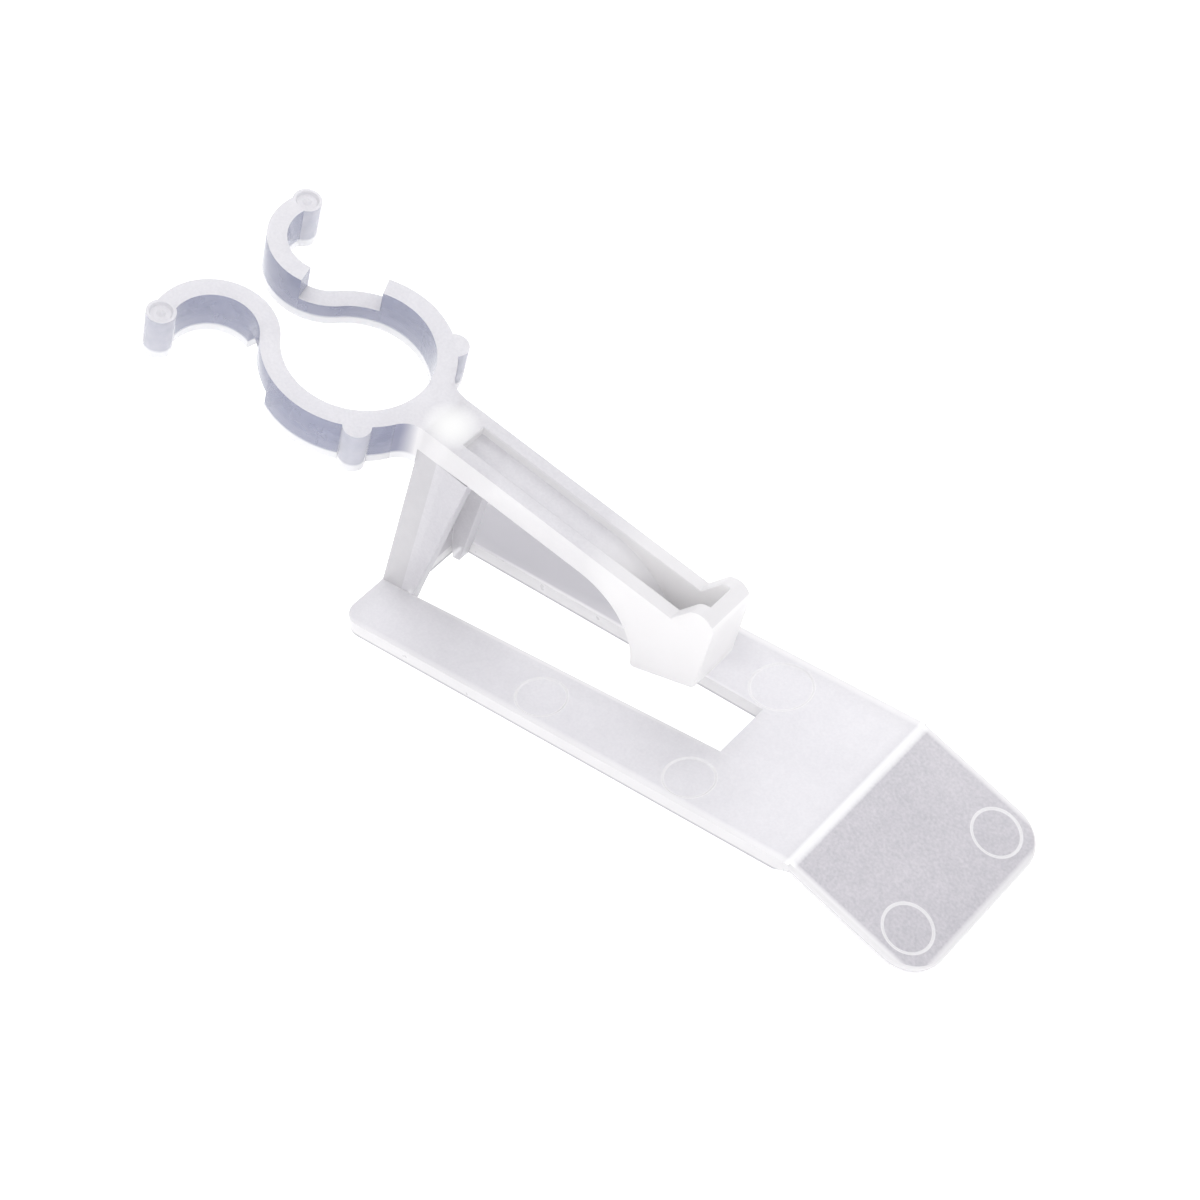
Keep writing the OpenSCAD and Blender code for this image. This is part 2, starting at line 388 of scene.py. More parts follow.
# Walls of the pegs and bosses: polished like the ring walls, with a bluish grey colour that is
# painted shade of the dark surroundings seen through them.
POST = Plastic(
    "plastic_post_painted_shade", (0.56, 0.56, 0.63), (0.38, 0.39, 0.47),
    roughness=0.12, transmission=0.3, alpha=0.76, grain=0.10, grain_size=0.30, cloud=1.6, speck=0.0,
)
BLADE = Plastic(
    "plastic_blade", (0.60, 0.58, 0.62), (0.43, 0.42, 0.46),
    roughness=0.38, grain=0.60, grain_size=0.28, cloud=0.9, speck=1.4,
)


def seam_material() -> bpy.types.Material:
    """Make the material of a cut inside the plastic, which can't be seen.

    Returns:
        The material.
    """
    graph = Graph("plastic_seam")
    shader = graph.node("BsdfPrincipled", {}, Alpha=0.0)
    graph.node("OutputMaterial", {}, Surface=graph.out(shader))
    return graph.material


# ------------------------------------------------------------ bmesh helpers


class Sketch:
    """Flat chains of lines and arcs, drawn in millimetres with one pen."""

    def __init__(self) -> None:
        """Start with an empty sheet."""
        self.bm = bmesh.new()
        self.pen: bmesh.types.BMVert | None = None
        self.chain: list[Edge] = []

    def corner(self, x: float, y: float) -> bmesh.types.BMVert:
        """Return the vertex at a point, which is made if there is none."""
        spot = Vector((x, y, 0))
        near = [v for v in self.bm.verts if (v.co - spot).length < TINY]
        return near[0] if near else self.bm.verts.new(spot)

    def move(self, x: float, y: float) -> Sketch:
        """Put the pen down at a point and start a new chain."""
        self.pen = self.corner(x, y)
        self.chain = []
        return self

    def line(self, *points: Point) -> Sketch:
        """Draw straight lines through points.

        Args:
            points: The points in order.

        Returns:
            The sketch itself.
        """
        for point in points:
            tip = self.corner(*point)
            self.chain.append(self.bm.edges.new((self.pen, tip)))
            self.pen = tip
        return self

    def arc(self, centre: Point, degrees: float, step: float = 3.0) -> Sketch:
        """Draw an arc round a centre, anticlockwise where degrees is positive.

        Args:
            centre: The centre of the arc.
            degrees: The turn from the pen to the arc's end.
            step: The turn of one straight piece, at most.

        Returns:
            The sketch itself.
        """
        steps = max(2, math.ceil(abs(degrees) / step))
        old = set(self.bm.edges)
        spun = bmesh.ops.spin(
            self.bm,
            geom=[self.pen],
            cent=(*centre, 0),
            axis=(0, 0, 1),
            angle=math.radians(degrees),
            steps=steps,
            use_merge=False,
            use_duplicate=False,
        )
        self.chain += [e for e in self.bm.edges if e not in old]
        self.pen = next(g for g in spun["geom_last"] if isinstance(g, bmesh.types.BMVert))
        return self

    def ring(self, centre: Point, radius: float, segments: int = 48) -> list[Edge]:
        """Draw a full circle and return its edges.

        Args:
            centre: Its centre, in millimetres.
            radius: Its radius.
            segments: How many edges it has.

        Returns:
            The edges in order.
        """
        place = Matrix.Translation((*centre, 0))
        made = bmesh.ops.create_circle(
            self.bm, cap_ends=False, segments=segments, radius=radius, matrix=place
        )
        return list(dict.fromkeys(e for v in made["verts"] for e in v.link_edges))

    def weld(self) -> None:
        """Join chain ends that meet at one point."""
        bmesh.ops.remove_doubles(self.bm, verts=self.bm.verts[:], dist=TINY)

    def fill(self, edges: Sequence[Edge]) -> list[Face]:
        """Fill a closed outline, with holes where loops lie inside it.

        Args:
            edges: The edges of the outline and of its holes.

        Returns:
            The new faces.
        """
        made = bmesh.ops.triangle_fill(
            self.bm, edges=list(edges), use_beauty=True, use_dissolve=False
        )
        return [g for g in made["geom"] if isinstance(g, Face)]


def everything(bm: Mesh) -> list[object]:
    """Return every vertex, edge and face of a mesh."""
    return bm.verts[:] + bm.edges[:] + bm.faces[:]


def show(name: str, data: bpy.types.ID) -> bpy.types.Object:
    """Put an object with some data into the scene and return it."""
    made = bpy.data.objects.new(name, data)
    bpy.context.scene.collection.objects.link(made)
    return made


def raise_faces(bm: Mesh, faces: Sequence[Face], height: float) -> list[Face]:
    """Extrude faces along Z and return the moved faces.

    Args:
        bm: The solid, in millimetres.
        faces: The flat faces.
        height: How far they move.

    Returns:
        The moved faces.
    """
    made = bmesh.ops.extrude_face_region(bm, geom=list(faces))
    verts = [g for g in made["geom"] if isinstance(g, bmesh.types.BMVert)]
    bmesh.ops.translate(bm, verts=verts, vec=(0, 0, height))
    return [g for g in made["geom"] if isinstance(g, Face)]


def tidy(bm: Mesh) -> None:
    """Merge doubles and turn every face outwards."""
    bmesh.ops.remove_doubles(bm, verts=bm.verts[:], dist=TINY)
    bmesh.ops.recalc_face_normals(bm, faces=bm.faces[:])


def soften(bm: Mesh, radius: float, seam: Test, segments: int = 3) -> None:
    """Round the sharp edges of a solid.

    Args:
        bm: The closed solid.
        radius: How far the rounding reaches from each edge.
        seam: True at points of the surfaces where no edge is rounded.
        segments: Facets across the rounding.
    """

    def hidden(edge: Edge) -> bool:
        """Return whether both ends and the middle of an edge lie on a seam."""
        first, last = (v.co for v in edge.verts)
        return all(seam(co) for co in (first, last, (first + last) / 2))

    sharp = [
        e
        for e in bm.edges
        if len(e.link_faces) == 2 and e.calc_face_angle(0) > SHARP and not hidden(e)
    ]
    bmesh.ops.bevel(
        bm,
        geom=sharp,
        offset=radius,
        offset_type="OFFSET",
        affect="EDGES",
        segments=segments,
        profile=0.5,
        material=-1,
        clamp_overlap=True,
    )


def cut(
    bm: Mesh, point: Vector, normal: Vector, keep_front: bool, zone: Zone = Zone.SEAM
) -> Mesh:
    """Return the part of a solid on one side of a plane, closed by a cap.

    Args:
        bm: The closed solid, which stays as it is.
        point: A point of the plane.
        normal: The plane's normal.
        keep_front: True to keep the side that the normal points to.
        zone: The finish of the cap.

    Returns:
        The kept part.
    """
    part = bm.copy()
    bmesh.ops.bisect_plane(
        part,
        geom=everything(part),
        dist=PLANE_SLACK,
        plane_co=point,
        plane_no=normal,
        clear_inner=keep_front,
        clear_outer=not keep_front,
    )
    rim = [e for e in part.edges if e.is_boundary]
    caps = bmesh.ops.triangle_fill(
        part, edges=rim, use_beauty=True, use_dissolve=False, normal=normal
    )
    for face in caps["geom"]:
        if isinstance(face, Face):
            face.material_index = zone.value
            face.smooth = False
    bmesh.ops.recalc_face_normals(part, faces=part.faces[:])
    return part


def split(bm: Mesh, point: Vector, normal: Vector) -> tuple[Mesh, Mesh]:
    """Cut a solid in two at a seam and return the back and front parts."""
    return cut(bm, point, normal, False), cut(bm, point, normal, True)


def slices(bm: Mesh, points: Sequence[Vector], normal: Vector) -> None:
    """Add cross cuts to a solid so that it can bend smoothly.

    Args:
        bm: The solid, in millimetres.
        points: A point of each cut.
        normal: The normal of every cut.
    """
    for point in points:
        bmesh.ops.bisect_plane(
            bm,
            geom=everything(bm),
            dist=PLANE_SLACK,
            plane_co=point,
            plane_no=normal,
        )


def discs_at(bm: Mesh, centre: Vector, slack: float) -> list[Face]:
    """Return the round faces, which have many corners, whose middle is near a point."""
    round_faces = (f for f in bm.faces if len(f.verts) > DISC_CORNERS)
    return [f for f in round_faces if (f.calc_center_median() - centre).length < slack]


def mark_zones(bm: Mesh, up: Vector, flat: float) -> None:
    """Give the satin finish to faces that look along up, and the polished one to the rest.

    Args:
        bm: The solid, in millimetres.
        up: The direction.
        flat: The least cosine that counts as along it.
    """
    for face in bm.faces:
        level = abs(face.normal.dot(up)) > flat
        face.material_index = (Zone.SATIN if level else Zone.POLISHED).value
        face.smooth = True


def cheeked(
    sketch: Sketch,
    floor: Sequence[Edge],
    pocket: Sequence[Edge],
    contour: Sequence[Edge],
    half: float,
    cheek: float,
) -> Mesh:
    """Extrude a side view into a trough: two full cheeks with an open middle.

    Args:
        sketch: The side view.
        floor: The edges round the part that fills the whole width, less contour.
        pocket: The edges round the open part, less contour.
        contour: The edges between the two parts.
        half: Half the overall width.
        cheek: The thickness of each cheek.

    Returns:
        The solid, centred on the sheet.
    """
    bm = sketch.bm
    marker = bm.faces.layers.int.new("hollow")
    solid = bmesh.ops.contextual_create(bm, geom=[*floor, *contour])["faces"]
    hollow = bmesh.ops.contextual_create(bm, geom=[*pocket, *contour])["faces"]
    for face in hollow:
        face[marker] = 1
    bmesh.ops.translate(bm, verts=bm.verts[:], vec=(0, 0, -half))
    inner = raise_faces(bm, [*solid, *hollow], cheek)
    web = [f for f in inner if not f[marker]]
    raised = raise_faces(bm, web, half - cheek)
    bmesh.ops.delete(bm, geom=[*web, *raised], context="FACES_ONLY")
    bm.faces.layers.int.remove(marker)
    mirrored(bm, "Z")
    return bm


def mirrored(bm: Mesh, axis: str) -> None:
    """Add the mirror image of everything in a bmesh and join it on.

    Args:
        bm: The solid, in millimetres.
        axis: The axis that is turned round.
    """
    bmesh.ops.mirror(
        bm, geom=everything(bm), matrix=Matrix.Identity(4), merge_dist=TINY, axis=axis
    )
    tidy(bm)


# ------------------------------------------------------------------- moulding


@dataclass
class Layout:
    """Where the sections lie: the row frame and the tilted ring plane."""

    back_x: float = -44.0
    ring_x: float = -4.42
    ring_z: float = 24.7
    tilt: float = 15.0
    plate_length: float = 51.5
    plate_thick: float = 1.6
    tab_length: float = 15.2
    tab_thick: float = 0.8
    tab_angle: float = 24.0

    @property
    def fold(self) -> Vector:
        """Return the middle of the fold's top edge, in metres."""
        return Vector((self.back_x + self.plate_length, 0, self.plate_thick)) * MM

    @property
    def base(self) -> Matrix:
        """Return the frame at the plate's back edge."""
        return Matrix.Translation((self.back_x, 0, 0))

    @property
    def ring(self) -> Matrix:
        """Return the frame of the ring plane."""
        lean = Matrix.Rotation(math.radians(self.tilt), 4, "Y")
        return self.base @ Matrix.Translation((self.ring_x, 0, self.ring_z)) @ lean

    @property
    def side(self) -> Matrix:
        """Return the frame of a side view: its X along the base, its Y up."""
        return Matrix.Rotation(math.radians(90), 4, "X")

    def on_ring(self, x: float, y: float, z: float) -> Vector:
        """Return a point of the ring frame in the row frame, in metres."""
        return (self.ring @ Vector((x, y, z))) * MM


@dataclass
class Moulding:
    """What every section of the moulding shares."""

    layout: Layout
    finishes: dict[str, bpy.types.Material]
    edge: float = 0.14
    made: list[str] = field(default_factory=list)

    def issue(
        self,
        name: str,
        bm: Mesh,
        place: Matrix,
        replaces: Sequence[str],
        satin: str = "satin",
        polished: str = "polished",
    ) -> bpy.types.Object:
        """Turn a finished solid into a piece.

        Args:
            name: The piece's name.
            bm: The solid, in millimetres.
            place: Its frame in the row frame, in millimetres.
            replaces: The CAD nodes that it stands for.
            satin: The finish of its level faces.
            polished: The finish of its walls.

        Returns:
            The piece.
        """
        bmesh.ops.transform(bm, matrix=Matrix.Scale(MM, 4) @ place, verts=bm.verts[:])
        mesh = bpy.data.meshes.new(name)
        bm.to_mesh(mesh)
        bm.free()
        for key in (satin, polished, "seam", "mark"):
            mesh.materials.append(self.finishes[key])
        piece = show(name, mesh)
        mesh.shade_smooth()
        mesh.set_sharp_from_angle(angle=SMOOTH_LIMIT)
        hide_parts(*replaces)
        self.made.append(name)
        LOG.info("%s: %d faces", name, len(mesh.polygons))
        return piece


@dataclass
class RingAndJaws:
    """The open ring with its bosses, the block of the neck and the two jaws.

    Angles are in degrees from the neck, and are mirrored for the left side.
    """

    bore: float = 14.3
    wall: float = 1.9
    height: float = 5.0
    boss_radius: float = 1.34
    boss_sink: float = 0.1
    boss_dir: float = 50.0
    horn_radius: float = 5.05
    horn_dir: float = 142.5
    horn_cut: float = -76.0
    peg_dir: float = 157.3
    peg_radius: float = 1.42
    peg_shift: float = 0.05
    peg_cut: float = 12.5
    flatness: float = 0.35
    dish_radius: float = 1.12
    dish_steps: tuple[Point, ...] = ((0.16, -0.28), (0.52, 0.0), (0.34, 0.24))
    back_end: float = 58.5
    flex_end: float = 72.0
    flex_steps: int = 9
    flex_inset: float = 1.0
    lap_start: float = 113.2
    lap: float = 2.5
    fillet: float = 2.5
    neck_half: float = 2.8
    seat: float = 9.95
    under: float = 3.0

    @property
    def inner(self) -> float:
        """Return the ring's inner radius."""
        return self.bore / 2

    @property
    def outer(self) -> float:
        """Return the ring's outer radius."""
        return self.inner + self.wall

    @property
    def boss_spread(self) -> float:
        """Return half the angle that a boss covers on the outer circle."""
        return meeting(self.outer, self.outer - self.boss_sink, self.boss_radius)

    @property
    def fillet_centre(self) -> Point:
        """Return the centre of the fillet between ring and neck."""
        y = self.neck_half + self.fillet
        return math.sqrt((self.outer + self.fillet) ** 2 - y * y), y

    @property
    def horn_centre(self) -> Point:
        """Return the centre of the right horn."""
        reach = self.inner + self.wall / 2 + self.horn_radius
        return polar(reach, self.horn_dir)

    @property
    def peg_centre(self) -> Point:
        """Return the centre of the right peg."""
        x, y = polar(self.horn_radius + self.peg_shift, self.peg_dir)
        return self.horn_centre[0] + x, self.horn_centre[1] + y

    def outline(self) -> tuple[Sketch, list[Edge]]:
        """Draw the plan of the right half, from the neck to the peg and back.

        Returns:
            The sheet and the edges of the outline.
        """
        sketch = Sketch()
        fx, fy = self.fillet_centre
        meet = math.degrees(math.atan2(fy, fx))
        boss = polar(self.outer - self.boss_sink, self.boss_dir)
        spread = self.boss_spread
        horn = self.horn_centre
        peg_reach = self.horn_radius + self.peg_shift
        inner_gap = meeting(self.horn_radius - self.wall / 2, peg_reach, self.peg_radius)
        outer_gap = meeting(self.horn_radius + self.wall / 2, peg_reach, self.peg_radius)
        tip = 360.0 - self.peg_dir
        root = 180.0 - self.horn_dir
        sketch.move(fx, 0).line((fx, self.neck_half))
        sketch.arc((fx, fy), meet - 90.0)
        sketch.arc((0, 0), self.boss_dir - spread - meet, RING_STEP)
        self.round_tip(sketch, boss, polar(self.outer, self.boss_dir + spread))
        sketch.arc((0, 0), self.horn_dir - self.boss_dir - spread, RING_STEP)
        sketch.arc(horn, -(tip - inner_gap - root), HORN_STEP)
        end_x, end_y = polar(self.horn_radius + self.wall / 2, self.peg_dir + outer_gap)
        self.round_tip(sketch, self.peg_centre, (horn[0] + end_x, horn[1] + end_y))
        sketch.arc(horn, tip - outer_gap - root, HORN_STEP)
        sketch.arc((0, 0), -self.horn_dir, RING_STEP)
        sketch.line((fx, 0))
        sketch.weld()
        return sketch, sketch.bm.edges[:]

    @staticmethod
    def round_tip(sketch: Sketch, centre: Point, goal: Point) -> None:
        """Draw an anticlockwise arc round a centre from the pen to a goal.

        Args:
            sketch: The sheet.
            centre: Its centre, in millimetres.
            goal: Where the arc ends.
        """
        start = sketch.pen.co
        first = math.atan2(start.y - centre[1], start.x - centre[0])
        last = math.atan2(goal[1] - centre[1], goal[0] - centre[0])
        sketch.arc(centre, math.degrees(last - first) % 360.0, BOSS_STEP)

    def solid(self, edge: float) -> Mesh:
        """Make the whole ring, both jaws and the neck block at full height.

        Args:
            edge: How far sharp edges are rounded.

        Returns:
            The solid, with its top at zero.
        """
        sketch, rim = self.outline()
        bm = sketch.bm
        dish = sketch.ring(self.peg_centre, self.dish_radius, 32)
        sketch.fill([*rim, *dish])
        bmesh.ops.contextual_create(bm, geom=dish)
        mirrored(bm, "Y")
        bmesh.ops.translate(bm, verts=bm.verts[:], vec=(0, 0, -self.height))
        raise_faces(bm, bm.faces[:], self.height)
        tidy(bm)
        fx = self.fillet_centre[0]
        soften(bm, edge, lambda co: co.x > fx - TINY)
        mark_zones(bm, LEVEL, self.flatness)
        self.sink_dishes(bm)
        return bm

    def sink_dishes(self, bm: Mesh) -> None:
        """Press the round dish into the top of each peg and leave a nub in it.

        Args:
            bm: The solid, in millimetres.
        """
        for side in (-1, 1):
            centre = Vector((self.peg_centre[0], side * self.peg_centre[1], 0))
            disc = discs_at(bm, centre, self.dish_radius / 4)
            for thickness, depth in self.dish_steps:
                bmesh.ops.inset_individual(bm, faces=disc, thickness=thickness, depth=depth)

    def build(self, moulding: Moulding) -> Mesh:
        """Make the pieces of the ring and the jaws.

        Args:
            moulding: What the sections share.

        Returns:
            The neck block, for the neck piece.
        """
        place = moulding.layout.ring
        body = self.solid(moulding.edge)
        fx, fy = self.fillet_centre
        chord = self.outer * math.cos(math.atan2(fy, fx))
        rest, neck = split(body, Vector((chord, 0, 0)), AHEAD)
        back = rest
        for side in (1, -1):
            back = cut(back, Vector(), side * self.across(self.back_end, side), False)
        for side, label in ((-1, "left"), (1, "right")):
            out = Vector((*polar(1.0, side * self.boss_dir), 0))
            reach = self.outer * math.cos(math.radians(self.boss_spread))
            back, boss = split(back, out * reach, out)
            name = f"ring_boss_{label}"
            piece = moulding.issue(name, boss, place, [name], "satin", "post")
            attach(piece, "clip")
            self.jaw(moulding, rest, side, label)
        piece = moulding.issue("ring_back", back, place, ["ring_back"])
        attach(piece, "clip")
        body.free()
        return neck

    @staticmethod
    def across(angle: float, side: int) -> Vector:
        """Return the anticlockwise direction at an angle on one side."""
        return Vector((*polar(1.0, side * angle + 90.0), 0))

    def jaw(self, moulding: Moulding, rest: Mesh, side: int, label: str) -> None:
        """Make the pieces of one jaw, from its spring to its peg.

        Args:
            moulding: What the sections share.
            rest: The ring and both jaws.
            side: 1 for the right, -1 for the left.
            label: The word for the side.
        """
        place = moulding.layout.ring
        horn = Vector((self.horn_centre[0], side * self.horn_centre[1], 0))
        half = cut(rest, Vector(), Vector((0, side, 0)), True)
        jaw = cut(half, Vector(), side * self.across(self.back_end, side), True)
        spring, jaw = split(jaw, Vector(), side * self.across(self.flex_end, side))
        arc, jaw = split(jaw, Vector(), side * self.across(self.lap_start, side))
        waist, jaw = split(jaw, horn, -side * self.across(self.horn_cut, side))
        arm, peg = split(jaw, horn, -side * self.across(self.peg_dir + self.peg_cut, side))
        waist = self.lap_joint(waist, side, moulding.edge)
        start = side * self.across(self.lap_start, side)
        finish = -side * self.across(self.horn_cut, side)
        self.expose(arc, Vector(), start, side)
        self.expose(arm, horn, finish, side)
        gap = (self.flex_end - self.back_end) / self.flex_steps
        for i in range(1, self.flex_steps):
            slices(spring, [Vector()], self.across(self.back_end + gap * i, side))
        parts = {"jaw_arc": arc, "jaw_waist": waist, "horn": arm, "peg": peg}
        for name, part in parts.items():
            walls = "post" if part is peg else "polished"
            whole = f"{label}_{name}"
            piece = moulding.issue(whole, part, place, [whole], "satin", walls)
            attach(piece, f"{label}_jaw")
        name = f"{label}_jaw_spring"
        piece = moulding.issue(name, spring, place, [name])
        middle = self.inner + self.wall / 2
        near, far = self.back_end + self.flex_inset, self.flex_end - self.flex_inset
        first = moulding.layout.on_ring(*polar(middle, side * near), 0)
        last = moulding.layout.on_ring(*polar(middle, side * far), 0)
        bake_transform(piece)

    def lap_joint(self, waist: Mesh, side: int, edge: float) -> Mesh:
        """Cut the half-lap notch: from above on the right, from below on the left.

        Args:
            waist: The waist at full height.
            side: 1 for the right, -1 for the left.
            edge: How far sharp edges are rounded.

        Returns:
            The notched waist.
        """
        middle = Vector((0, 0, self.lap - self.height))
        kept = cut(waist, middle, LEVEL, side < 0, Zone.SATIN)
        soften(kept, 0.6 * edge, lambda co: abs(co.z - middle.z) > TINY or self.on_seam(co, side))
        return kept

    def on_seam(self, co: Vector, side: int) -> bool:
        """Return whether a point lies on a seam at either end of the waist.

        Args:
            co: The point.
            side: 1 for the right, -1 for the left.

        Returns:
            True on a seam.
        """
        horn = Vector((self.horn_centre[0], side * self.horn_centre[1], 0))
        flat = Vector((co.x, co.y, 0))
        near = abs(flat.dot(self.across(self.lap_start, side)))
        far = abs((flat - horn).dot(self.across(self.horn_cut, side)))
        return min(near, far) < TINY

    def expose(self, bm: Mesh, point: Vector, normal: Vector, side: int) -> None:
        """Finish the half of an end face that the notch lays open.

        Args:
            bm: The section beside the notch.
            point: A point of the seam.
            normal: The seam's normal.
            side: 1 for the right, -1 for the left.
        """
        level = self.lap - self.height
        slices(bm, [Vector((0, 0, level))], LEVEL)
        for face in bm.faces:
            middle = face.calc_center_median()
            flat = Vector((middle.x, middle.y, 0)) - point
            if abs(flat.dot(normal)) < TINY and side * (middle.z - level) > 0:
                face.material_index = Zone.POLISHED.value


def polar(radius: float, degrees: float) -> Point:
    """Return the point at a radius and an angle."""
    turn = math.radians(degrees)
    return radius * math.cos(turn), radius * math.sin(turn)


def meeting(circle: float, reach: float, radius: float) -> float:
    """Return the angle between the centre line of two circles and their crossing.

    Args:
        circle: The radius of the first circle, at whose centre the angle is.
        reach: The distance between the centres.
        radius: The radius of the second circle.

    Returns:
        The angle in degrees.
    """
    return math.degrees(math.acos((circle**2 + reach**2 - radius**2) / (2 * circle * reach)))


@dataclass
class Tongue:
    """The bar of the neck, and the sprung tongue with its hook and finger lip."""

    half: float = 2.8
    cheek: float = 1.35
    depth: float = 3.0
    trough: float = 1.0
    trough_start: float = 13.7
    neck_end: float = 15.9
    spring_end: float = 19.5
    hook: float = 29.0
    hook_radius: float = 7.38
    wall_front: float = 41.45
    end: float = 43.05
    lip_start: float = 38.8
    lip_height: float = 1.6
    lip_radius: float = 1.5
    heel_radius: float = 1.05
    sole: float = 26.8
    toe: Point = (36.9, -9.66)
    toe_flat: Point = (-0.4, -0.06)
    toe_rise: float = 0.16
    pocket_low: float = -6.3
    pocket_turn: Point = (40.5, -6.2)
    pocket_end: float = -5.6
    lip_clear: float = 0.01
    flatness: float = 0.5
    leg_wall: float = 2.3
    flex_steps: int = 9
    flex_inset: float = 0.01

    def solid(self, start: float, seat: float, edge: float) -> Mesh:
        """Make the whole bar from the neck block to the lip, as one solid.

        Args:
            start: Where the bar leaves the neck block.
            seat: Where the leg's wall begins.
            edge: How far its edges are rounded.

        Returns:
            The solid, in the ring plane's side view.
        """
        sketch = Sketch()
        lip_x = self.end - self.lip_radius
        far = math.hypot(lip_x - self.lip_start, self.lip_height)
        climb = math.atan2(self.lip_height, lip_x - self.lip_start)
        rise = math.degrees(climb + math.asin(self.lip_radius / far))
        top_x, top_y = polar(math.sqrt(far**2 - self.lip_radius**2), rise)
        lift = math.degrees(math.acos((self.wall_front - lip_x) / self.lip_radius))
        sketch.move(self.trough_start, 0)
        sketch.line((self.lip_start, 0), (self.lip_start + top_x, top_y))
        sketch.arc((lip_x, self.lip_height), -(rise + 90.0 - lift), LIP_STEP)
        crest = sketch.pen.co.copy()
        pocket = list(sketch.chain)
        sketch.move(crest.x, crest.y).arc((lip_x, self.lip_height), -lift, CORNER_STEP)
        heel_x = self.end - self.heel_radius
        slope = math.radians(self.sole)
        toe_x, toe_y = self.toe
        heel_y = toe_y + (heel_x - toe_x) * math.tan(slope) + self.heel_radius / math.cos(slope)
        sketch.line((self.end, heel_y))
        sketch.arc((heel_x, heel_y), self.sole - 90.0, CORNER_STEP)
        sketch.line(self.toe, (toe_x + self.toe_flat[0], toe_y + self.toe_flat[1]))
        hook_y = -self.depth - self.hook_radius
        low_y = toe_y + self.toe_rise
        low_x = self.hook + math.sqrt(self.hook_radius**2 - (low_y - hook_y) ** 2)
        sketch.line((low_x, low_y))
        sweep = math.degrees(math.atan2(low_y - hook_y, low_x - self.hook))
        sketch.arc((self.hook, hook_y), 90.0 - sweep)
        sketch.line((self.neck_end, -self.depth), (seat + self.leg_wall, -self.depth))
        sketch.line((start, -self.depth), (start, 0), (self.trough_start, 0))
        floor = list(sketch.chain)
        inner = self.hook_radius + self.depth - self.trough
        sketch.move(self.trough_start, 0)
        sketch.line((self.trough_start, -self.trough), (self.hook, -self.trough))
        stop = math.degrees(math.asin((self.pocket_low - hook_y) / inner))
        sketch.arc((self.hook, hook_y), stop - 90.0)
        sketch.line(self.pocket_turn, (self.wall_front, self.pocket_end), (crest.x, crest.y))
        contour = list(sketch.chain)
        sketch.weld()
        bm = cheeked(sketch, alive(floor), alive(pocket), alive(contour), self.half, self.cheek)

        def fixed(co: Vector) -> bool:
            """Return whether a point lies where the bar meets the block or the leg."""
            on_leg = co.x < self.neck_end + TINY and co.y < TINY - self.depth
            return co.x < start + TINY or on_leg

        soften(bm, edge, fixed)
        mark_zones(bm, ASIDE, self.flatness)
        self.hide_leg_seat(bm, seat)
        return bm

    def hide_leg_seat(self, bm: Mesh, seat: float) -> None:
        """Mark the underside that the leg's wall and ribs grow from.

        Args:
            bm: The solid, in millimetres.
            seat: Where the leg's wall begins.
        """
        for face in bm.faces:
            middle = face.calc_center_median()
            below = abs(middle.y + self.depth) < TINY and middle.x < self.neck_end
            open_gap = middle.x > seat + self.leg_wall and abs(middle.z) < self.half - self.cheek
            if below and not open_gap:
                face.material_index = Zone.SEAM.value

    def build(self, moulding: Moulding, block: Mesh, ring: RingAndJaws) -> None:
        """Make the neck and the tongue's pieces.

        Args:
            moulding: What the sections share.
            block: The block of the neck, from the ring.
            ring: The ring, for the places that both share.
        """
        layout = moulding.layout
        place = layout.ring @ layout.side
        bar = self.solid(ring.fillet_centre[0], ring.seat, moulding.edge)
        neck_bar, rest = split(bar, AHEAD * self.neck_end, AHEAD)
        spring, rest = split(rest, AHEAD * self.spring_end, AHEAD)
        channel, rest = split(rest, AHEAD * self.hook, AHEAD)
        nose, lip = split(rest, ASIDE * self.lip_clear, ASIDE)
        back, front = split(block, AHEAD * ring.seat, AHEAD)
        front = cut(front, LEVEL * -ring.under, LEVEL, True)
        bmesh.ops.transform(neck_bar, matrix=layout.side, verts=neck_bar.verts[:])
        neck = joined(back, front, neck_bar)
        name = "neck"
        piece = moulding.issue(name, neck, layout.ring, [name], "satin_gate", "skin_root")
        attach(piece, "clip")
        gap = (self.spring_end - self.neck_end) / self.flex_steps
        cuts = [AHEAD * (self.neck_end + gap * i) for i in range(1, self.flex_steps)]
        slices(spring, cuts, AHEAD)
        parts = {
            "tongue_spring": spring,
            "tongue_channel": channel,
            "tongue_nose": nose,
            "finger_lip": lip,
        }
        for name, part in parts.items():
            piece = moulding.issue(name, part, place, [name], "satin_head", "skin_head")
            if part is spring:
                first = layout.on_ring(self.neck_end + self.flex_inset, 0, -self.depth / 2)
                last = layout.on_ring(self.spring_end - self.flex_inset, 0, -self.depth / 2)
                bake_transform(piece)
            else:
                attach(piece, "tongue")


def alive(edges: Sequence[Edge]) -> list[Edge]:
    """Return the edges that welding has left."""
    return [e for e in edges if e.is_valid]


def joined(*parts: Mesh) -> Mesh:
    """Return one bmesh that holds several solids.

    Args:
        parts: The solids, which are used up.

    Returns:
        The new bmesh.
    """
    whole = bmesh.new()
    for part in parts:
        mesh = bpy.data.meshes.new("part")
        part.to_mesh(mesh)
        whole.from_mesh(mesh)
        bpy.data.meshes.remove(mesh)
        part.free()
    return whole


